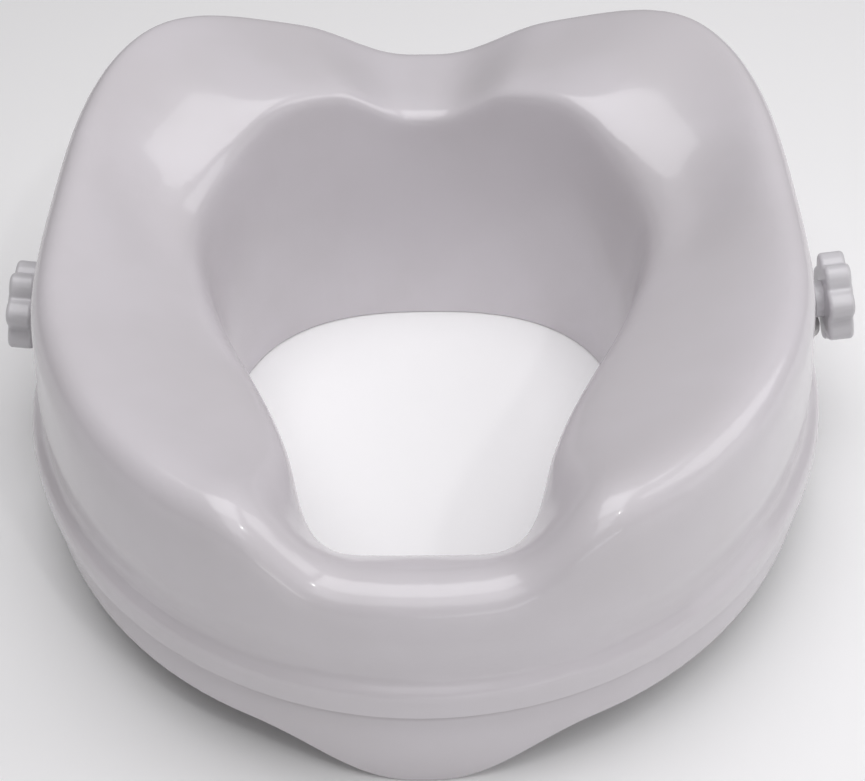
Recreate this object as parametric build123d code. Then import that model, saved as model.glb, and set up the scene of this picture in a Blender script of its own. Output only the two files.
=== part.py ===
from build123d import *
import os
from math import sin, cos, radians

# Raised toilet seat: a hollow moulded ring that sits on a toilet bowl and is held by two clamps.
# Frame: X to the right of the sitter's view from the front, Y to the rear, Z up, all in millimetres.
# The origin is the centre of the footprint, on the plane of the lowest edges.

os.makedirs("parts", exist_ok=True)

# ---------------------------------------------------------------- driving sizes of the moulding
seat_width = 375.0          # over the rim band, side to side
seat_front = 200.0          # reach of the rim band in front of the origin
seat_rear = 203.0           # reach of the rim band behind the origin
rim_height = 48.0           # underside of the rim band above the lowest edge
crest_height = 134.0        # rolled top at the front shoulders and the sides
wing_height = 158.0         # level the two rear wings rise towards
wing_fall = 27.0            # how far the crest comes down again behind the wings
front_dip = 29.0            # depth of the dip at the front
rear_notch = 17.0           # depth of the notch at the rear
wall = 3.2                  # thickness of the moulded wall

roll_height = 25.0          # height of the rolled shoulder below the crest
front_slope = 12.0          # fall from crest to mouth at the front
side_slope = 24.0           # fall from crest to mouth at the sides
rear_slope = 1.0            # fall from crest to mouth at the rear
throat_drop = 23.0          # fall from mouth to throat
apron_depth = 24.0          # apron below the rim band
lip_depth = rim_height      # apron depth at the front lip
band_height = 16.0          # height of the rim band
band_step = 3.0             # how far the rim band stands out from the skirt
apron_inset = 2.4           # how far the apron stands in from the rim band
apron_wall = 3.6
apron_root = 10.0           # how far the apron runs up inside the band

# ---------------------------------------------------------------- angles from the front, degrees
dip_start, dip_end = 8.0, 26.0          # the dip's flank
lip_start, lip_end = 0.0, 23.0          # the lip's flank
rise_start, rise_end = 60.0, 167.0      # the crest rises towards the wings
fall_start, fall_end = 130.0, 172.0     # the crest falls behind the wings
notch_start, notch_end = 1.0, 22.0      # the notch's flank, from the rear
slope_start, slope_end = 120.0, 170.0   # the side slope fades to the rear slope

# ---------------------------------------------------------------- clamps
screw_y = 22.0              # clamp axis behind the origin
screw_rise = 25.0           # clamp axis above the underside of the rim band, at the skirt
clamp_slope = 8.0           # degrees the clamp axis rises outwards, square to the leaning skirt
skirt_draft = 2.8           # the skirt leans in this much between rim band and clamp axis
clamp_travel = 22.0
least_neck = 1.0            # neck left outside the skirt when the screw is fully in
left_out = 2.0              # how far the left clamp is unscrewed at rest
right_out = 6.5             # how far the right clamp is unscrewed at rest

screw_diameter = 10.0       # neck and thread crest
thread_pitch = 3.0
thread_depth = 1.1
thread_overlap = 2.0        # thread that stands past the bush when the screw is fully in
journal_step = 1.5          # the swivelling journal is this much thinner all round
running_gap = 0.05          # radial, screw in bush and journal in bracket
face_gap = 0.1              # axial, beside the swivelling tip
tip_length = 1.5

knob_radius = 22.0
knob_lobes = 7
lobe_depth = 4.4
lobe_fullness = 0.7         # below 1 the lobes are fuller than the valleys
lobe_points = 8
knob_thickness = 12.0
knob_rounding = 2.0
hub_length = 4.0
hub_wall = 4.0
head_across = 17.0          # hexagon head across its flats
head_height = 6.4
cap_margin = 2.2            # the cap reaches this far past the hexagon's corners
cap_thickness = 2.0
cap_dome = 1.2
cap_rounding = 1.08

bush_wall = 2.5
bush_length = 12.0
bush_setback = 6.6          # bush behind the inner face of the skirt
bush_flange = 2.0           # flange thickness, and how far it stands out
boss_wall = 3.5
neck_clearance = 1.2        # radial, neck in the skirt's hole

bracket_plate = 4.0
upright_half_width = 19.5
upright_rise = 12.0         # top of the upright above the clamp axis
upright_rounding = 6.0
upright_setback = 21.5      # upright inside the jaw's leg
shelf_clearance = 1.0       # sliding shelf below the bush's boss
shelf_thickness = 3.5
shelf_overhang = 4.1        # sliding shelf past each side of the upright
leg_half_width = 16.0
leg_thickness = 3.5
leg_reach = 34.0            # how far the jaw hangs below the underside of the rim band
leg_rounding = 5.0
leg_clearance = 2.4         # jaw's leg inside the skirt when fully out
tongue_half_width = 11.0
tongue_rounding = 7.7
tongue_inset = 2.0          # tongue's end inside the rim band when the screw is fully in
gusset_thickness = 2.4
gusset_size = 14.0
slide_gap = 0.2             # above and below the sliding shelf
side_gap = 0.4              # beside the sliding shelf
slot_gap = 0.6              # round the tongue
slot_depth = 12.0           # tongue's slot, inwards from the skirt's inner face

pad_thickness = 2.5
pad_side_inset = 1.0        # pad inside the edges of the jaw's leg
pad_top_inset = 4.0         # pad below the underside of the rim band
pad_rounding = 4.0
pad_peg_radius = 2.5
pad_peg_rises = (8.0, 22.0)     # pegs above the foot of the jaw's leg

washer_reach = 3.5          # washer past the journal
washer_thickness = 1.2
ring_reach = 2.5            # retaining ring past the journal
ring_thickness = 1.2
ring_opening = 3.24
groove_depth = 0.8

guide_thickness = 3.0
guide_margin = 12.4         # guide plate past each side of the sliding shelf
guide_reach = 4.0           # guide plate inside the bracket's upright
guide_setback = 9.0         # guide plate inside the apron
guide_rounding = 4.0
guide_slot_gap = 1.0        # beside the jaw's leg
guide_slot_lead = 2.0       # slot inside the jaw's pad
web_thickness = 6.0
web_height = 18.0
guide_boss_radius = 5.0
guide_boss_height = 20.0
guide_screw_radius = 1.9
guide_screw_length = 12.0
guide_screw_inset = 9.0     # screws inside the guide plate's ends
guide_screw_margin = 5.6    # screws inside the guide plate's sides
guide_head_radius = 3.6
guide_head_height = 2.2
cross_width = 1.1
cross_length = 4.4
cross_depth = 1.2

# ---------------------------------------------------------------- rest pads
rest_angles = {"front": 44.0, "rear": 136.0}
rest_radius = 152.0
rest_length = 40.0          # across the rim of the bowl
rest_width = 26.0
rest_rounding = 5.0
rest_pad_thickness = 2.5
landing_thickness = 3.0
landing_overhang = 15.0     # landing past each end of its pad
landing_margin = 2.0        # landing past each side of its pad
landing_rib_spacing = 17.4
peg_radius = 2.5
peg_spacing = 22.0
rib_thickness = 2.6
rib_angles = (14.0, 28.0, 62.0, 118.0, 152.0, 166.0)
rib_start = 60.0            # ribs and webs begin inside the opening and are trimmed to the wall

# ---------------------------------------------------------------- shape of the profile
# Shares of the way from one ring to the next.
band_full = 0.35            # the band stands upright up to here
band_close = 0.7            # and turns in to the skirt from here
skirt_share = 0.6
roll_start = 0.08
roll_turn = 0.45
roll_drop = 0.3             # of the rolled shoulder's height
roll_lift = 1.0             # the roll's high point over the crest
throat_share = 0.7
throat_rise = 0.3
middle_share = 0.5
blend_reach = 0.6           # share of a ring's reach over which its front power becomes its rear one

degree = 3
profile_points = 56
halvings = 40

# ---------------------------------------------------------------- derived levels
over = 1.0                                    # how far a cut runs past the face it opens
past_skin = 9.0                               # how far a cut or a boss runs past the rim band
half_width = seat_width / 2
skirt_face = half_width - band_step           # skirt and apron, just inside the band
screw_z = rim_height + screw_rise
screw_radius = screw_diameter / 2
journal_radius = screw_radius - journal_step
groove_radius = journal_radius - groove_depth
washer_radius = journal_radius + washer_reach
ring_radius = journal_radius + ring_reach
bush_radius = screw_radius + bush_wall
boss_radius = bush_radius + boss_wall
hub_radius = screw_radius + hub_wall
neck_hole_radius = screw_radius + neck_clearance
valley_radius = knob_radius - lobe_depth
cap_radius = head_across / 3**0.5 + cap_margin
shelf_drop = boss_radius + shelf_clearance    # top of the sliding shelf below the clamp axis
shelf_top = screw_z - shelf_drop
shelf_bottom = shelf_top - shelf_thickness
shelf_half_width = upright_half_width + shelf_overhang
channel_top = shelf_top + slide_gap
guide_top = shelf_bottom - slide_gap
guide_bottom = guide_top - guide_thickness
guide_half_width = shelf_half_width + guide_margin
leg_foot = rim_height - leg_reach
span = (seat_width + seat_front + seat_rear) * 2    # longer than anything it cuts


def smooth(x, start, end):
    """Rises from 0 at start to 1 at end with no kink at either."""
    u = min(max((x - start) / (end - start), 0.0), 1.0)
    return u**3 * (u * (6 * u - 15) + 10)


def fade(x, start, end):
    return 1 - smooth(x, start, end)


def taper(x, start, end):
    """Rises from 0 at start to 1 at end, almost straight between them."""
    u = min(max((x - start) / (end - start), 0.0), 1.0)
    return u * u * (3 - 2 * u)


class Ring:
    """A plan outline, set in from the rim band: pointed by its powers and necked at the front."""

    def __init__(self, side, front, rear, powers, shift, neck=0.0, neck_from=-1.0, neck_to=1.0):
        self.half = half_width - side
        self.front = seat_front - front + shift
        self.rear = seat_rear - rear - shift
        self.powers = powers
        self.shift = shift
        self.neck = neck
        self.neck_from = neck_from * seat_front
        self.neck_to = neck_to * seat_rear

    def excess(self, x, y):
        """Negative inside the outline and positive outside it."""
        low = y - self.shift
        reach = self.front if low < 0 else self.rear
        blend = smooth(low, -blend_reach * self.front, blend_reach * self.rear)
        power = self.powers[0] * (1 - blend) + self.powers[1] * blend
        half = self.half * (1 - self.neck * (1 - taper(y, self.neck_from, self.neck_to)))
        return (abs(x) / half) ** power + (abs(low) / reach) ** power - 1

    def radius(self, angle):
        """Distance of the outline from the Z axis, at an angle from the front."""
        dx, dy = abs(sin(radians(angle))), -cos(radians(angle))
        inside, outside = 0.0, span
        for _ in range(halvings):
            middle = (inside + outside) / 2
            if self.excess(middle * dx, middle * dy) < 0:
                inside = middle
            else:
                outside = middle
        return inside


# Side, front and rear set-in, front and rear power, shift to the rear, then how it is necked.
rim = Ring(0.0, 0.0, 0.0, (1.98, 2.36), 4.0)
shoulder = Ring(12.0, 6.5, 5.0, (2.08, 3.1), 10.0)
crest = Ring(31.5, 28.0, 22.0, (2.09, 3.7), 18.6)
mouth = Ring(56.0, 46.0, 70.0, (7.5, 1.8), 6.0, 0.6, -0.665, 0.24)
throat = Ring(82.5, 51.0, 75.0, (6.0, 2.09), 16.5, 0.49, -0.665, 0.24)
flange = Ring(86.5, 56.0, 98.7, (5.5, 2.5), 14.0, 0.48, -0.665, 0.24)


def crest_level(angle):
    """Height of the rolled top at an angle from the front."""
    level = crest_height + (wing_height - crest_height) * smooth(angle, rise_start, rise_end)
    level -= wing_fall * smooth(angle, fall_start, fall_end)
    level -= front_dip * fade(angle, dip_start, dip_end)
    return level - rear_notch * fade(180 - angle, notch_start, notch_end)


def foot_level(angle):
    """Height of the apron's lower edge."""
    deeper = (lip_depth - apron_depth) * fade(angle, lip_start, lip_end)
    return rim_height - apron_depth - deeper


def mouth_level(angle):
    fall = front_slope + (side_slope - front_slope) * smooth(angle, dip_start, dip_end)
    fall += (rear_slope - side_slope) * smooth(angle, slope_start, slope_end)
    return crest_level(angle) - fall


def mix(a, b, share):
    return tuple(p * (1 - share) + q * share for p, q in zip(a, b))


def skirt_point(angle, z):
    """The skirt's line at a height, between the rim band and the rolled shoulder."""
    roll = crest_level(angle) - roll_height
    share = (z - rim_height) / (roll - rim_height)
    return mix((rim.radius(angle) - band_step, rim_height), (shoulder.radius(angle), roll), share)


def poles(angle):
    """Control points (radius, height) of the moulding's profile, from the rim band to the flange."""
    angle = abs(angle) if abs(angle) <= 180 else 360 - abs(angle)
    top = crest_level(angle)
    low = mouth_level(angle)
    edge = rim.radius(angle)
    band_top = rim_height + band_height
    p_band = skirt_point(angle, band_top)
    p_shoulder = (shoulder.radius(angle), top - roll_height)
    p_crest = (crest.radius(angle), top)
    p_mouth = (mouth.radius(angle), low)
    p_throat = (throat.radius(angle), low - throat_drop)
    p_flange = (flange.radius(angle), 0.0)
    return [
        (edge, rim_height),
        (edge, rim_height + band_full * band_height),
        (edge, rim_height + band_close * band_height),
        p_band,
        skirt_point(angle, band_top + middle_share * band_height),
        mix(p_band, p_shoulder, skirt_share),
        p_shoulder,
        (mix(p_shoulder, p_crest, roll_start)[0], top - roll_drop * roll_height),
        (mix(p_shoulder, p_crest, roll_turn)[0], top + roll_lift),
        p_crest,
        mix(p_crest, p_mouth, middle_share),
        p_mouth,
        (mix(p_mouth, p_throat, throat_share)[0], low - throat_rise * throat_drop),
        p_throat,
        mix(p_throat, p_flange, middle_share),
        p_flange,
    ]


def weight(knots, i, order, u):
    """Cox and de Boor's weight of control point i."""
    if order == 0:
        return 1.0 if knots[i] <= u < knots[i + 1] else 0.0
    total = 0.0
    if knots[i + order] > knots[i]:
        total += (u - knots[i]) / (knots[i + order] - knots[i]) * weight(knots, i, order - 1, u)
    if knots[i + order + 1] > knots[i + 1]:
        share = (knots[i + order + 1] - u) / (knots[i + order + 1] - knots[i + 1])
        total += share * weight(knots, i + 1, order - 1, u)
    return total


pole_count = len(poles(0.0))
spans = pole_count - degree
knots = [0.0] * degree + [float(k) for k in range(spans + 1)] + [float(spans)] * degree
profile_steps = [k / (profile_points - 1) for k in range(profile_points)]
weights = [[weight(knots, i, degree, s * spans) for i in range(pole_count)]
           for s in profile_steps[:-1]]
weights.append([0.0] * (pole_count - 1) + [1.0])


def profile(angle, inset):
    """Points (radius, height) along the profile, set in from its outer face."""
    corners = poles(angle)
    line = [
        (sum(w * c[0] for w, c in zip(row, corners)), sum(w * c[1] for w, c in zip(row, corners)))
        for row in weights
    ]
    last = len(line) - 1
    moved = []
    for i, (r, z) in enumerate(line):
        before, after = line[max(i - 1, 0)], line[min(i + 1, last)]
        dr, dz = after[0] - before[0], after[1] - before[1]
        if i in (0, last):
            dr = 0.0
        length = (dr * dr + dz * dz) ** 0.5
        moved.append((r - inset * dz / length, z + inset * dr / length))
    return moved


def place(point, angle):
    r, z = point
    return Vector(r * sin(radians(angle)), -r * cos(radians(angle)), z)


def section(angle, inner, outer=0.0, solid=False):
    """Closed wire across the moulding's wall, or round the whole arch when solid."""
    near = [place(p, angle) for p in profile(angle, outer)]
    top = Edge.make_spline(near, parameters=profile_steps)
    if solid:
        return Wire([top, Edge.make_line(near[-1], near[0])])
    far = [place(p, angle) for p in profile(angle, inner)]
    under = Edge.make_spline(far, parameters=profile_steps)
    first = Edge.make_line(far[0], near[0])
    last = Edge.make_line(near[-1], far[-1])
    return Wire([top, last, under, first])


# Angles of the loft's sections, closer together where the crest bends.
stations = [-4, 0, 4, 8, 12, 16, 20, 24, 28, 34, 42, 52, 64, 76, 88, 100, 112, 122, 131, 139, 147,
            153, 158, 162, 166, 170, 174, 177, 180, 184]


def keep_right(shape):
    return shape.split(Plane.YZ, keep=Keep.TOP)


def arch(inner, outer=0.0, solid=False):
    """Right half of the moulding's wall, or of the arch it spans."""
    loft = Solid.make_loft([section(float(a), inner, outer, solid) for a in stations])
    return keep_right(loft)


def apron():
    """Right half of the thin wall below the rim band, deeper at the front."""
    rings = []
    for a in stations:
        outer = rim.radius(a) - apron_inset
        inner = outer - apron_wall
        foot = foot_level(abs(a))
        top = rim_height + apron_root
        corners = [(outer, foot), (inner, foot), (inner, top), (outer, top)]
        rings.append(Wire(Polyline(*[place(c, float(a)) for c in corners], close=True).edges()))
    return keep_right(Solid.make_loft(rings))


def block(x0, x1, y0, y1, z0, z1):
    size = (x1 - x0, y1 - y0, z1 - z0)
    return Pos((x0 + x1) / 2, (y0 + y1) / 2, (z0 + z1) / 2) * Box(*size)


def bar(x0, x1, half, z0, z1):
    """Block centred on the clamp axis."""
    return block(x0, x1, screw_y - half, screw_y + half, z0, z1)


def rod(x0, x1, radius, z=screw_z):
    """Round bar along X."""
    return Pos((x0 + x1) / 2, screw_y, z) * Rot(0, 90, 0) * Cylinder(radius, x1 - x0)


def post(x, y, z0, z1, radius):
    return Pos(x, y, (z0 + z1) / 2) * Cylinder(radius, z1 - z0)


def hexagon(x, height):
    face = Plane.YZ * RegularPolygon(head_across / 2, 6, major_radius=False)
    return Pos(x, screw_y, screw_z) * extrude(face, height)


# ---------------------------------------------------------------- clamp positions, right side
skirt_at_screw = skirt_face - skirt_draft       # outer face of the skirt on the clamp axis
apron_inner = half_width - apron_inset - apron_wall
hub_in = skirt_at_screw + least_neck            # hub face when the screw is fully in
knob_in = hub_in + hub_length
knob_face = knob_in + knob_thickness
leg_outer_in = skirt_face - wall - clamp_travel - leg_clearance
leg_inner_in = leg_outer_in - leg_thickness
shelf_end_in = leg_outer_in - (shelf_drop + shelf_thickness) * sin(radians(clamp_slope))
upright_in = leg_inner_in - upright_setback     # bracket upright's outer face
plate_in = upright_in - bracket_plate           # and its inner face
bush_outer = skirt_at_screw - wall - bush_setback
bush_inner = bush_outer - bush_length
thread_end_in = bush_outer + thread_overlap
tongue_end_in = half_width - tongue_inset
guide_inner = plate_in - guide_reach
guide_outer = apron_inner - guide_setback
slot_inner = leg_inner_in - pad_thickness - guide_slot_lead
skin = half_width + past_skin
screw_line = [
    (x, screw_y + side * (guide_half_width - guide_screw_margin))
    for side in (-1, 1)
    for x in (guide_inner + guide_screw_inset, guide_outer - guide_screw_inset)
]


def tilted(shape):
    """Tips a clamp shape, made level, to the slope of the clamp axis."""
    pivot = Pos(skirt_at_screw, screw_y, screw_z)
    return pivot * Rot(0, -clamp_slope, 0) * Pos(-skirt_at_screw, -screw_y, -screw_z) * shape


# ---------------------------------------------------------------- shell
def radial_rib(angle, offset=0.0):
    """Upright rib from the opening to past the skirt, to be trimmed to the moulding."""
    high = wing_height - rim_height
    rib = Pos(rib_start + span / 2, offset, rim_height + high / 2) * Box(span, rib_thickness, high)
    return Rot(0, 0, angle - 90) * rib


def landing(angle):
    """Flat landing over one rest pad."""
    plate = Pos(rest_radius, 0, rim_height + landing_thickness / 2) * Box(
        rest_length + 2 * landing_overhang, rest_width + 2 * landing_margin, landing_thickness
    )
    return Rot(0, 0, angle - 90) * plate


def pegs(angle, z0, z1):
    along = [
        Pos(rest_radius + side * peg_spacing / 2, 0, (z0 + z1) / 2) * Cylinder(peg_radius, z1 - z0)
        for side in (-1, 1)
    ]
    return [Rot(0, 0, angle - 90) * peg for peg in along]


def channel_web(side):
    """Web beside the sliding shelf, relieved so that the shelf passes."""
    face = screw_y + side * (shelf_half_width + side_gap)
    near = face - side * web_thickness / 2
    far = face + side * web_thickness / 2
    web = block(rib_start, skin, min(near, far), max(near, far), guide_top, guide_top + web_height)
    relief = block(rib_start - over, skin + over, min(near, face), max(near, face),
                   guide_top - over, channel_top)
    return web - relief


def clamp_holes():
    """Cuts for one clamp: bush, neck, tongue and guide screws."""
    cuts = [
        rod(bush_inner - bush_flange - over, bush_outer, bush_radius),
        rod(bush_inner - over, skin, neck_hole_radius),
        bar(apron_inner - slot_depth, skin, tongue_half_width + slot_gap,
             shelf_bottom - slot_gap, shelf_top + slot_gap),
    ]
    for x, y in screw_line:
        cuts.append(post(x, y, guide_top - over, guide_top + guide_screw_length,
                         guide_screw_radius))
    return cuts


def make_shell():
    middle = arch(0.0, wall / 2, solid=True)
    body = arch(wall) + apron()

    inside = [radial_rib(angle) for angle in rib_angles]
    for angle in rest_angles.values():
        inside.append(landing(angle))
        for side in (-1, 1):
            inside.append(radial_rib(angle, side * landing_rib_spacing / 2))
    for side in (-1, 1):
        inside.append(tilted(channel_web(side)))
    for x, y in screw_line:
        boss = post(x, y, guide_top, guide_top + guide_boss_height, guide_boss_radius)
        inside.append(tilted(boss))
    inside.append(tilted(rod(bush_inner, skin, boss_radius)))
    kept = [piece & middle for piece in inside]
    body = body.fuse(*[s for piece in kept for s in piece.solids()])
    body = body.cut(*[s for hole in clamp_holes() for s in tilted(hole).solids()])
    for angle in rest_angles.values():
        for peg in pegs(angle, rim_height - over, rim_height + landing_thickness + over):
            body -= peg
    return body + body.mirror(Plane.YZ)


# ---------------------------------------------------------------- clamp pieces, fully in, right side
def make_knob():
    points = []
    steps = knob_lobes * lobe_points
    for k in range(steps):
        turn = radians(360 * k / steps)
        lobe = (1 + cos(knob_lobes * turn)) / 2
        reach = valley_radius + lobe_depth * lobe**lobe_fullness
        points.append(Vector(0, reach * cos(turn), reach * sin(turn)))
    star = Face(Wire([Edge.make_spline(points, periodic=True)]))
    body = Solid.extrude(star, Vector(knob_thickness, 0, 0))
    rims = body.edges().group_by(Axis.X)
    body = fillet(rims[0] + rims[-1], knob_rounding)
    body = Pos(knob_in, screw_y, screw_z) * body
    body += rod(hub_in, knob_in + over, hub_radius)
    body -= rod(hub_in - over, knob_face, screw_radius)
    body -= hexagon(knob_face - head_height - cap_thickness, head_height + cap_thickness)
    return body - rod(knob_face - cap_thickness, knob_face + over, cap_radius)


def make_cap():
    disc = rod(knob_face - cap_thickness, knob_face + cap_dome, cap_radius)
    return fillet(disc.edges().group_by(Axis.X)[-1], cap_rounding)


def groove(x0, x1, radius):
    """Ring-shaped cut down to a radius."""
    return rod(x0, x1, screw_diameter) - rod(x0 - over, x1 + over, radius)


def make_screw():
    head_in = knob_face - cap_thickness - head_height
    shoulder_x = upright_in + face_gap
    clip_face = plate_in - washer_thickness - 2 * face_gap
    tip = clip_face - ring_thickness - face_gap - tip_length
    body = hexagon(head_in, head_height)
    body += rod(shoulder_x, head_in, screw_radius)
    body += rod(tip, shoulder_x, journal_radius)
    x = shoulder_x + thread_pitch
    while x < thread_end_in - thread_pitch / 2:
        body -= groove(x - thread_pitch / 4, x + thread_pitch / 4, screw_radius - thread_depth)
        x += thread_pitch
    return body - groove(clip_face - ring_thickness - face_gap, clip_face, groove_radius)


def make_washer():
    x1 = plate_in - face_gap
    x0 = x1 - washer_thickness
    return rod(x0, x1, washer_radius) - rod(x0 - over, x1 + over, journal_radius + running_gap)


def make_ring():
    """Retaining ring, open on one side, in the screw's groove."""
    x1 = plate_in - washer_thickness - 2.5 * face_gap
    x0 = x1 - ring_thickness
    disc = rod(x0, x1, ring_radius) - rod(x0 - over, x1 + over, groove_radius)
    return disc - bar(x0 - over, x1 + over, ring_opening / 2, screw_z - ring_radius - over, screw_z)


def make_bush():
    body = rod(bush_inner, bush_outer, bush_radius)
    body += rod(bush_inner - bush_flange, bush_inner, bush_radius + bush_flange)
    return body - rod(bush_inner - bush_flange - over, bush_outer + over,
                      screw_radius + running_gap)


def gusset(side):
    y = screw_y + side * (upright_half_width - gusset_thickness / 2)
    corner = (upright_in, shelf_top)
    far = (upright_in + gusset_size, shelf_top)
    high = (upright_in, shelf_top + gusset_size)
    face = make_face(Polyline(corner, far, high, close=True))
    return extrude(Plane.XZ.offset(-y) * face, gusset_thickness / 2, both=True)


def peg_levels():
    return [leg_foot + rise for rise in pad_peg_rises]


def make_bracket():
    """Sliding bracket, with its upright and shelf square to the screw and its jaw plumb."""
    upright = bar(plate_in, upright_in, upright_half_width, shelf_bottom, screw_z + upright_rise)
    upright = fillet(upright.edges().filter_by(Axis.X).group_by(Axis.Z)[-1], upright_rounding)
    shelf = bar(plate_in, leg_inner_in, shelf_half_width, shelf_bottom, shelf_top)
    root = leg_inner_in - over
    shelf += bar(root, shelf_end_in, leg_half_width, shelf_bottom, shelf_top)
    tongue = bar(root, tongue_end_in, tongue_half_width, shelf_bottom, shelf_top)
    tongue = fillet(tongue.edges().filter_by(Axis.Z).group_by(Axis.X)[-1], tongue_rounding)
    body = upright + shelf + tongue + gusset(-1) + gusset(1)
    body -= rod(plate_in - over, upright_in + over, journal_radius + running_gap)
    middle = Pos((leg_inner_in + leg_outer_in) / 2, screw_y, (shelf_bottom + shelf_top) / 2)
    leg_top = tilted(middle * Box(over, over, over)).center().Z
    leg = bar(leg_inner_in, leg_outer_in, leg_half_width, leg_foot, leg_top)
    leg = fillet(leg.edges().filter_by(Axis.X).group_by(Axis.Z)[0], leg_rounding)
    body = tilted(body) + leg
    for z in peg_levels():
        body -= rod(leg_inner_in - over, leg_outer_in + over, pad_peg_radius, z)
    return body


def make_jaw_pad():
    pad = bar(leg_inner_in - pad_thickness, leg_inner_in, leg_half_width - pad_side_inset,
               leg_foot + pad_side_inset, rim_height - pad_top_inset)
    pad = fillet(pad.edges().filter_by(Axis.X), pad_rounding)
    for z in peg_levels():
        pad += rod(leg_inner_in - over, leg_outer_in, pad_peg_radius, z)
    return pad


def screw_head(x, y):
    """Countersunk head of a guide screw."""
    middle = guide_bottom + guide_head_height / 2
    return Pos(x, y, middle) * Cone(guide_head_radius, guide_screw_radius, guide_head_height)


def make_guide():
    """Plate with a slot, open outwards, that the jaw's leg travels in."""
    body = bar(guide_inner, guide_outer, guide_half_width, guide_bottom, guide_top)
    body = fillet(body.edges().filter_by(Axis.Z), guide_rounding)
    body -= bar(slot_inner, guide_outer + over, leg_half_width + guide_slot_gap,
                 guide_bottom - over, guide_top + over)
    for x, y in screw_line:
        body -= post(x, y, guide_bottom - over, guide_top + over, guide_screw_radius)
        body -= screw_head(x, y)
    return body


def make_guide_screws():
    screws = []
    for x, y in screw_line:
        neck = guide_bottom + guide_head_height
        body = screw_head(x, y)
        body += post(x, y, neck, guide_top + guide_screw_length - over, guide_screw_radius)
        cross = Box(cross_width, cross_length, 2 * cross_depth)
        cross += Box(cross_length, cross_width, 2 * cross_depth)
        screws.append(body - Pos(x, y, guide_bottom) * cross)
    return screws


def make_rest_pad(angle):
    pad = Box(rest_length, rest_width, rest_pad_thickness)
    pad = fillet(pad.edges().filter_by(Axis.Z), rest_rounding)
    middle = rim_height - rest_pad_thickness / 2
    pad = Rot(0, 0, angle - 90) * Pos(rest_radius, 0, middle) * pad
    for peg in pegs(angle, middle, rim_height + landing_thickness):
        pad += peg
    return pad


def save(shape, name):
    solids = shape if isinstance(shape, list) else shape.solids()
    item = solids[0] if len(solids) == 1 else Compound(children=[Solid(s.wrapped) for s in solids])
    export_step(item, f"parts/{name}.step")
    print(name, len(solids), round(sum(s.volume for s in solids) / 1000, 2), "cm3")


def slid_out(distance):
    """Where a clamp piece goes when its screw is turned out by a distance."""
    slope = radians(clamp_slope)
    return Pos(distance * cos(slope), 0, distance * sin(slope))


def both_sides(make, name, moves=True, level=False):
    """Save a clamp piece on each side, at its distance out at rest; level pieces aren't tipped."""
    shape = make()
    pieces = shape if isinstance(shape, list) else [shape]
    if not level:
        pieces = [tilted(p) for p in pieces]
    right = [(slid_out(right_out if moves else 0) * p).solid() for p in pieces]
    left = [(slid_out(left_out if moves else 0) * p).solid().mirror(Plane.YZ) for p in pieces]
    save(right, f"{name}_right")
    save(left, f"{name}_left")


both_sides(make_knob, "knob")
both_sides(make_cap, "knob_cap")
both_sides(make_screw, "clamp_screw")
both_sides(make_washer, "thrust_washer")
both_sides(make_ring, "retaining_ring")
both_sides(make_bracket, "clamp_bracket", level=True)
both_sides(make_jaw_pad, "jaw_pad", level=True)
both_sides(make_bush, "screw_bush", moves=False)
both_sides(make_guide, "guide_plate", moves=False)
both_sides(make_guide_screws, "guide_screws", moves=False)
for name, angle in rest_angles.items():
    pad = make_rest_pad(angle)
    save([pad.solid()], f"rest_pad_{name}_right")
    save([pad.mirror(Plane.YZ).solid()], f"rest_pad_{name}_left")
save(make_shell(), "seat_shell")
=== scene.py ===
import bpy
import bmesh
from math import cos, radians, sin
from mathutils import Matrix, Vector


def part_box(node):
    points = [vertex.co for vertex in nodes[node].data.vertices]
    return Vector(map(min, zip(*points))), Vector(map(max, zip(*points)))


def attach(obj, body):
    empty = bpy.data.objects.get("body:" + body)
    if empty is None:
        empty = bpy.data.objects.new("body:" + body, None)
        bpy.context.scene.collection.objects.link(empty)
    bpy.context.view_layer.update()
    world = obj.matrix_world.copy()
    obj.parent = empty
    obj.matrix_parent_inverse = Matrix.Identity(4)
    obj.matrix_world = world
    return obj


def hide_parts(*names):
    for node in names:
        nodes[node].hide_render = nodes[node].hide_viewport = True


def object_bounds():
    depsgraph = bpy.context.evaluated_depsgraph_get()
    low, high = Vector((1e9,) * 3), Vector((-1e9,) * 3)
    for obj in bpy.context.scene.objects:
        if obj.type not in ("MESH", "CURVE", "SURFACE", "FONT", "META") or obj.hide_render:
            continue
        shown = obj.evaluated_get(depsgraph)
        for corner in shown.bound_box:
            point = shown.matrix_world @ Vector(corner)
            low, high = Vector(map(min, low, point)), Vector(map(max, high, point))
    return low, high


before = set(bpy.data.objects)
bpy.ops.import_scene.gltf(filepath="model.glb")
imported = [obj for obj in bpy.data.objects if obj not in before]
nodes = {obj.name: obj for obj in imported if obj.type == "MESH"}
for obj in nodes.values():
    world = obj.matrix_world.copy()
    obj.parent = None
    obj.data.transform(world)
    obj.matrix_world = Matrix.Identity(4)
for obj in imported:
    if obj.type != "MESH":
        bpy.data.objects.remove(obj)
cad_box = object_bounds()
scene = bpy.context.scene


# ------------------------------------------------------------------ finishes
noise_low, noise_high = 0.3, 0.7        # the noise's values that count as its ends
shade_under = 0.0448, 0.0472            # heights the crease's painted shade fades over, under the rim band
shade_foot = 0.0395, 0.0440             # and at its foot
shade_front = -0.175, -0.11             # depths it fades over, from the front to the sides
painted_shade_tone = 0.6, 0.58, 0.58            # what is left of the plastic's tone in the crease's painted shade


def new_finish(name, color, roughness):
    """A principled surface and the object coordinates its patterns are laid out on."""
    material = bpy.data.materials.new(name)
    material.use_nodes = True
    tree = material.node_tree
    shader = tree.nodes["Principled BSDF"]
    shader.inputs["Base Color"].default_value = (*color, 1.0)
    shader.inputs["Roughness"].default_value = roughness
    place = tree.nodes.new("ShaderNodeTexCoord").outputs["Object"]
    return material, tree, shader, place


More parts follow.
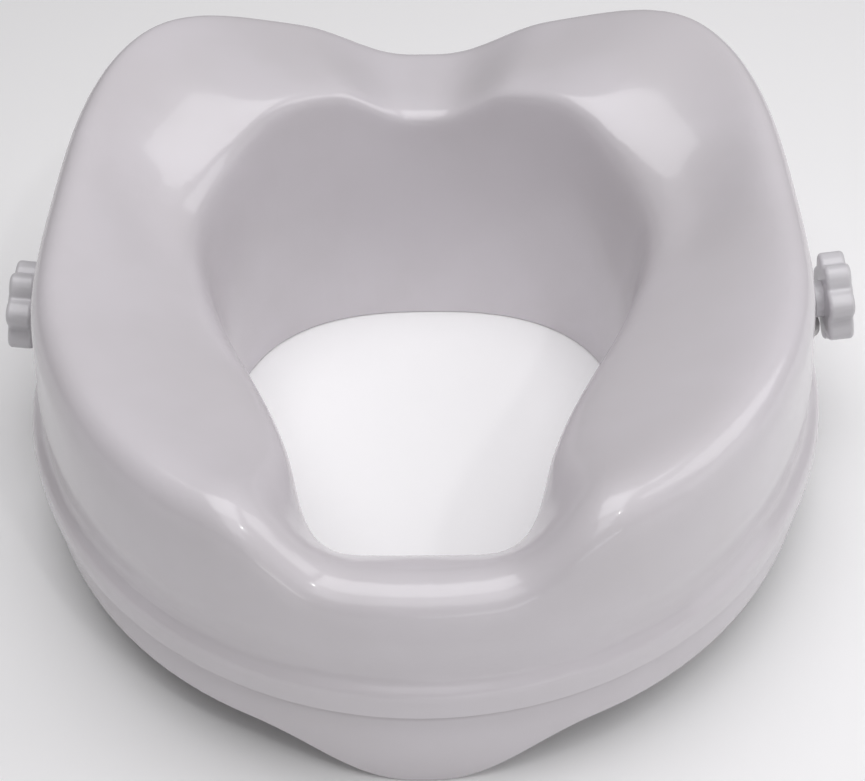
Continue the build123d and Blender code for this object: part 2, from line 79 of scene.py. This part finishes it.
def cloud(tree, place, scale, detail=4.0, roughness=0.55):
    """Soft random variation, in cells per metre."""
    noise = tree.nodes.new("ShaderNodeTexNoise")
    noise.inputs["Scale"].default_value = scale
    noise.inputs["Detail"].default_value = detail
    noise.inputs["Roughness"].default_value = roughness
    tree.links.new(place, noise.inputs["Vector"])
    return noise.outputs["Fac"]


def spread(tree, value, low, high, start=noise_low, end=noise_high):
    """Maps start..end of a value onto low..high."""
    ramp = tree.nodes.new("ShaderNodeMapRange")
    ramp.interpolation_type = "SMOOTHSTEP"
    ramp.inputs["From Min"].default_value = start
    ramp.inputs["From Max"].default_value = end
    ramp.inputs["To Min"].default_value = low
    ramp.inputs["To Max"].default_value = high
    tree.links.new(value, ramp.inputs["Value"])
    return ramp.outputs["Result"]


def tint(tree, value, dark, light, shader):
    """Base colour that drifts between two close tones."""
    ramp = tree.nodes.new("ShaderNodeValToRGB")
    ramp.color_ramp.interpolation = "EASE"
    ramp.color_ramp.elements[0].position = noise_low
    ramp.color_ramp.elements[0].color = (*dark, 1.0)
    ramp.color_ramp.elements[1].position = noise_high
    ramp.color_ramp.elements[1].color = (*light, 1.0)
    tree.links.new(value, ramp.inputs["Fac"])
    tree.links.new(ramp.outputs["Color"], shader.inputs["Base Color"])


def raise_surface(tree, shader, heights):
    """Bumps laid over each other: pairs of height and depth in metres."""
    last = None
    for height, depth in heights:
        bump = tree.nodes.new("ShaderNodeBump")
        bump.inputs["Strength"].default_value = 1.0
        bump.inputs["Distance"].default_value = depth
        tree.links.new(height, bump.inputs["Height"])
        if last is not None:
            tree.links.new(last, bump.inputs["Normal"])
        last = bump.outputs["Normal"]
    tree.links.new(last, shader.inputs["Normal"])


def moulded_gloss(name, dark, light, low, high, peel):
    """Glossy moulded plastic: slow tone and thickness waves, a soft haze and fine orange peel."""
    material, tree, shader, place = new_finish(name, light, low)
    tint(tree, cloud(tree, place, 12.0, 3.0), dark, light, shader)
    tree.links.new(spread(tree, cloud(tree, place, 16.0, 0.0), low, high, 0.1, 0.9),
                   shader.inputs["Roughness"])
    raise_surface(tree, shader, [(cloud(tree, place, 14.0, 0.0), 0.00002),
                                 (cloud(tree, place, 420.0, 2.0), peel)])
    shader.inputs["IOR"].default_value = 1.49
    shader.inputs["Coat Weight"].default_value = 0.3
    shader.inputs["Coat Roughness"].default_value = 0.06
    return material


def moulded_satin(name, dark, light, low, high):
    """Satin moulded plastic with a fine spark-eroded grain."""
    material, tree, shader, place = new_finish(name, light, low)
    tint(tree, cloud(tree, place, 30.0, 3.0), dark, light, shader)
    tree.links.new(spread(tree, cloud(tree, place, 160.0, 6.0), low, high),
                   shader.inputs["Roughness"])
    raise_surface(tree, shader, [(cloud(tree, place, 1400.0, 3.0), 0.00006)])
    return material


def plain_rubber(name, dark, light):
    material, tree, shader, place = new_finish(name, light, 0.75)
    tint(tree, cloud(tree, place, 60.0, 4.0), dark, light, shader)
    tree.links.new(spread(tree, cloud(tree, place, 300.0, 6.0), 0.6, 0.9),
                   shader.inputs["Roughness"])
    raise_surface(tree, shader, [(cloud(tree, place, 1800.0, 3.0), 0.0001)])
    return material


def turned_metal(name, dark, light, low, high):
    material, tree, shader, place = new_finish(name, light, low)
    shader.inputs["Metallic"].default_value = 1.0
    tint(tree, cloud(tree, place, 120.0, 4.0), dark, light, shader)
    tree.links.new(spread(tree, cloud(tree, place, 500.0, 6.0), low, high),
                   shader.inputs["Roughness"])
    raise_surface(tree, shader, [(cloud(tree, place, 2500.0, 2.0), 0.00003)])
    return material


def painted_crease_shade(material):
    """Painted shade: darkens the plastic's colour on the front of the apron, close under the rim
    band, where the band's shadow falls.
    """
    tree = material.node_tree
    shader = tree.nodes["Principled BSDF"]
    place = tree.nodes.new("ShaderNodeTexCoord").outputs["Object"]
    split = tree.nodes.new("ShaderNodeSeparateXYZ")
    tree.links.new(place, split.inputs["Vector"])
    share = spread(tree, split.outputs["Z"], 1.0, 0.0, *shade_under)
    below = spread(tree, split.outputs["Z"], 0.0, 1.0, *shade_foot)
    front = spread(tree, split.outputs["Y"], 1.0, 0.0, *shade_front)
    for factor in (below, front):
        product = tree.nodes.new("ShaderNodeMath")
        product.operation = "MULTIPLY"
        tree.links.new(share, product.inputs[0])
        tree.links.new(factor, product.inputs[1])
        share = product.outputs[0]
    # painted shade: the plastic's colour is multiplied towards the shade tone under the band
    darker = tree.nodes.new("ShaderNodeMix")
    darker.data_type = "RGBA"
    darker.blend_type = "MULTIPLY"
    amount, plain, shade = (darker.inputs[k] for k in (0, 6, 7))    # the mix's colour sockets
    shaded = darker.outputs[2]
    shade.default_value = (*painted_shade_tone, 1.0)
    tree.links.new(share, amount)
    tree.links.new(shader.inputs["Base Color"].links[0].from_socket, plain)
    tree.links.new(shaded, shader.inputs["Base Color"])


finishes = {
    "seat_shell": moulded_gloss("shell_plastic", (0.655, 0.626, 0.648), (0.69, 0.66, 0.69),
                                0.19, 0.26, 0.000006),
    "knob": moulded_gloss("knob_plastic", (0.55, 0.54, 0.555), (0.63, 0.62, 0.64),
                          0.29, 0.36, 0.00001),
    "knob_cap": moulded_gloss("cap_plastic", (0.56, 0.555, 0.57), (0.64, 0.63, 0.65),
                              0.285, 0.34, 0.00001),
    "clamp_screw": moulded_satin("screw_nylon", (0.52, 0.52, 0.53), (0.6, 0.6, 0.61), 0.32, 0.45),
    "screw_bush": turned_metal("bush_brass", (0.55, 0.40, 0.18), (0.68, 0.5, 0.24), 0.29, 0.42),
    "thrust_washer": moulded_satin("washer_nylon", (0.03, 0.03, 0.032), (0.05, 0.05, 0.052),
                                   0.4, 0.55),
    "retaining_ring": turned_metal("clip_steel", (0.35, 0.35, 0.36), (0.5, 0.5, 0.52), 0.29, 0.4),
    "clamp_bracket": moulded_satin("bracket_nylon", (0.6, 0.595, 0.58), (0.68, 0.67, 0.66),
                                   0.35, 0.5),
    "jaw_pad": plain_rubber("jaw_rubber", (0.018, 0.018, 0.019), (0.032, 0.032, 0.034)),
    "guide_plate": moulded_satin("guide_nylon", (0.6, 0.595, 0.58), (0.68, 0.67, 0.66), 0.38, 0.5),
    "guide_screws": turned_metal("fastener_steel", (0.42, 0.42, 0.44), (0.6, 0.6, 0.62), 0.29, 0.4),
    "rest_pad": plain_rubber("rest_rubber", (0.06, 0.06, 0.062), (0.09, 0.09, 0.093)),
}
# paints shade into the shell's colour close under the rim band, where the band's shadow falls
painted_crease_shade(finishes["seat_shell"])


def paint(obj, material):
    obj.data.materials.clear()
    obj.data.materials.append(material)


for name, obj in nodes.items():
    kind = max((k for k in finishes if name.startswith(k)), key=len)
    paint(obj, finishes[kind])


# ------------------------------------------------------------------ moulding
rim_low = 0.048                 # underside of the rim band
outer_share = 0.93              # of the rim's reach: everything past it is the outer face
outward = 0.15                  # least cosine between an outer face's normal and the way out
level_slack = 1e-5              # a point this close to the rim's underside belongs to the band

step_depth = 0.0020             # the apron stands this much deeper under the band than in the frame
step_soft = 0.002               # reaches that depth this far under the band
step_fade = 0.022               # and comes back to its place this far down
step_cuts, step_first, step_gap = 12, 0.0002, 0.002     # rows the apron is cut into, going down

cove_depth = 0.0018             # hollow of the skirt over the rim band
cove_rise = 0.0595, 0.0655      # heights between which the hollow gets its depth
cove_fade = 0.068, 0.088        # and between which it loses it
cove_cuts, cove_first, cove_gap = 20, 0.058, 0.0015     # rows the skirt is cut into, going up

weld_gap = 1e-6
cut_slack = 1e-7
crease = radians(35)            # edges that turn more than this stay sharp


def ease(value, start, end):
    share = min(max((value - start) / (end - start), 0.0), 1.0)
    return share * share * (3 - 2 * share)


shell_low, shell_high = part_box("seat_shell")
middle = (shell_low.y + shell_high.y) / 2
half_width = (shell_high.x - shell_low.x) / 2
half_depth = (shell_high.y - shell_low.y) / 2


def rim_reach(x, y):
    """Distance of the rim band's outline from the Z axis, in the direction of a point."""
    length = (x * x + y * y) ** 0.5
    across, along = x / length / half_width, y / length / half_depth
    return 1 / (across * across + along * along) ** 0.5 + middle * y / length


def hollow(point, normal):
    """How far a point of the outer face stands in from the plain moulding."""
    away = Vector((point.x, point.y, 0.0))
    inside = away.length < outer_share * rim_reach(point.x, point.y)
    if inside or normal.dot(away.normalized()) < outward:
        return 0.0
    if point.z < rim_low - level_slack:
        return step_depth * ease(point.z, rim_low - step_fade, rim_low - step_soft)
    return cove_depth * ease(point.z, *cove_rise) * (1 - ease(point.z, *cove_fade))


def crosses(face, level):
    """Whether a face of the outer side passes through a level."""
    heights = [vert.co.z for vert in face.verts]
    point = face.verts[0].co
    away = Vector((point.x, point.y, 0.0))
    return (min(heights) < level < max(heights) and face.normal.dot(away) > 0
            and away.length > outer_share * rim_reach(point.x, point.y))


def make_moulding():
    """The seat's moulding with a crisp band: a hollow over it and a deeper step under it."""
    bm = bmesh.new()
    bm.from_mesh(nodes["seat_shell"].data)
    bmesh.ops.remove_doubles(bm, verts=bm.verts, dist=weld_gap)
    levels = [rim_low - step_first - step_gap * k for k in range(step_cuts)]
    levels += [cove_first + cove_gap * k for k in range(cove_cuts)]
    bm.normal_update()
    for level in levels:
        skin = [face for face in bm.faces if crosses(face, level)]
        edges = {edge for face in skin for edge in face.edges}
        verts = {vert for face in skin for vert in face.verts}
        bmesh.ops.bisect_plane(bm, geom=list(verts) + list(edges) + skin, dist=cut_slack,
                               plane_co=(0, 0, level), plane_no=(0, 0, 1))
    bm.normal_update()
    moves = []
    for vert in bm.verts:
        depth = hollow(vert.co, vert.normal)
        if depth > 0:
            away = Vector((vert.co.x, vert.co.y, 0.0)).normalized()
            moves.append((vert, vert.co - away * depth))
    for vert, target in moves:
        vert.co = target
    bmesh.ops.triangulate(bm, faces=bm.faces[:])
    bm.normal_update()
    for face in bm.faces:
        face.smooth = True
    for edge in bm.edges:
        edge.smooth = edge.calc_face_angle(0.0) < crease
    mesh = bpy.data.meshes.new("seat_moulding")
    bm.to_mesh(mesh)
    bm.free()
    piece = bpy.data.objects.new("seat_moulding", mesh)
    scene.collection.objects.link(piece)
    paint(piece, finishes["seat_shell"])
    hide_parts("seat_shell")
    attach(piece, "shell")


# ------------------------------------------------------------------ floor, light and camera
floor_gap = 0.0005              # keeps the floor clear of the lowest edges
floor_half = 6.0
lens_length, film_width = 60.0, 36.0
lens_shift = 0.0099, 0.0225
eye = 0.0116, -0.5219, 0.5242
eye_down, eye_turn, eye_roll = 43.84, -1.37, -1.44      # degrees


def make_floor():
    low = cad_box[0].z - floor_gap
    mesh = bpy.data.meshes.new("studio_floor")
    bm = bmesh.new()
    bmesh.ops.create_grid(bm, x_segments=1, y_segments=1, size=floor_half)
    bmesh.ops.translate(bm, verts=bm.verts, vec=(0, 0, low))
    bm.to_mesh(mesh)
    bm.free()
    floor = bpy.data.objects.new("studio_floor", mesh)
    scene.collection.objects.link(floor)
    material, tree, shader, place = new_finish("floor_paper", (0.96, 0.96, 0.96), 0.9)
    shader.inputs["Specular IOR Level"].default_value = 0.1
    tree.links.new(spread(tree, cloud(tree, place, 3.0), 0.85, 0.95), shader.inputs["Roughness"])
    paint(floor, material)


def soft_box(name, place, aim, size, power, color=(1.0, 1.0, 1.0)):
    light = bpy.data.lights.new(name, "AREA")
    light.shape = "RECTANGLE"
    light.size, light.size_y = size
    light.energy = power
    light.color = color
    lamp = bpy.data.objects.new(name, light)
    lamp.location = Vector(place)
    lamp.rotation_mode = "QUATERNION"
    lamp.rotation_quaternion = (Vector(aim) - Vector(place)).to_track_quat("-Z", "Y")
    scene.collection.objects.link(lamp)


def make_lights():
    """A large soft box overhead, weaker ones at the right and the front, and two small lamps."""
    aim = (0.0, 0.0, 0.08)
    cool, warm = (0.985, 0.98, 1.0), (1.0, 0.955, 0.945)
    soft_box("top_light", (0.0, 0.0, 1.8), aim, (1.6, 1.6), 21.0, cool)
    soft_box("right_light", (1.4, 0.2, 1.2), aim, (1.0, 1.0), 6.0, cool)
    soft_box("front_light", (0.0, -1.3, 1.5), aim, (1.0, 1.0), 4.2, cool)
    soft_box("side_light", (1.7, -0.3, 0.35), aim, (0.8, 0.6), 1.3, cool)
    soft_box("low_light", (0.55, -1.7, 0.25), aim, (1.3, 0.16), 1.6, cool)
    soft_box("window_light", (0.6, -0.9, 1.4), aim, (0.08, 0.08), 1.8)
    world = bpy.data.worlds.new("studio_air")
    world.use_nodes = True
    sky = world.node_tree.nodes["Background"]
    sky.inputs["Color"].default_value = (*warm, 1.0)
    sky.inputs["Strength"].default_value = 0.11
    scene.world = world


def make_camera():
    """Looks down at the front, turned and rolled a little, from about arm's length."""
    down, turn, roll = radians(eye_down), radians(eye_turn), radians(eye_roll)
    ahead = Vector((sin(turn) * cos(down), cos(turn) * cos(down), -sin(down)))
    right = Vector((cos(turn), -sin(turn), 0.0))
    up = right.cross(ahead)
    rolled_right = right * cos(roll) + up * sin(roll)
    rolled_up = up * cos(roll) - right * sin(roll)
    lens = bpy.data.cameras.new("camera")
    lens.sensor_width = film_width
    lens.lens = lens_length
    lens.shift_x, lens.shift_y = lens_shift
    camera = bpy.data.objects.new("camera", lens)
    turned = Matrix((rolled_right, rolled_up, -ahead)).transposed()
    camera.matrix_world = Matrix.Translation(Vector(eye)) @ turned.to_4x4()
    scene.collection.objects.link(camera)
    scene.camera = camera


make_moulding()
make_floor()
make_lights()
make_camera()
scene.view_settings.view_transform = "Standard"
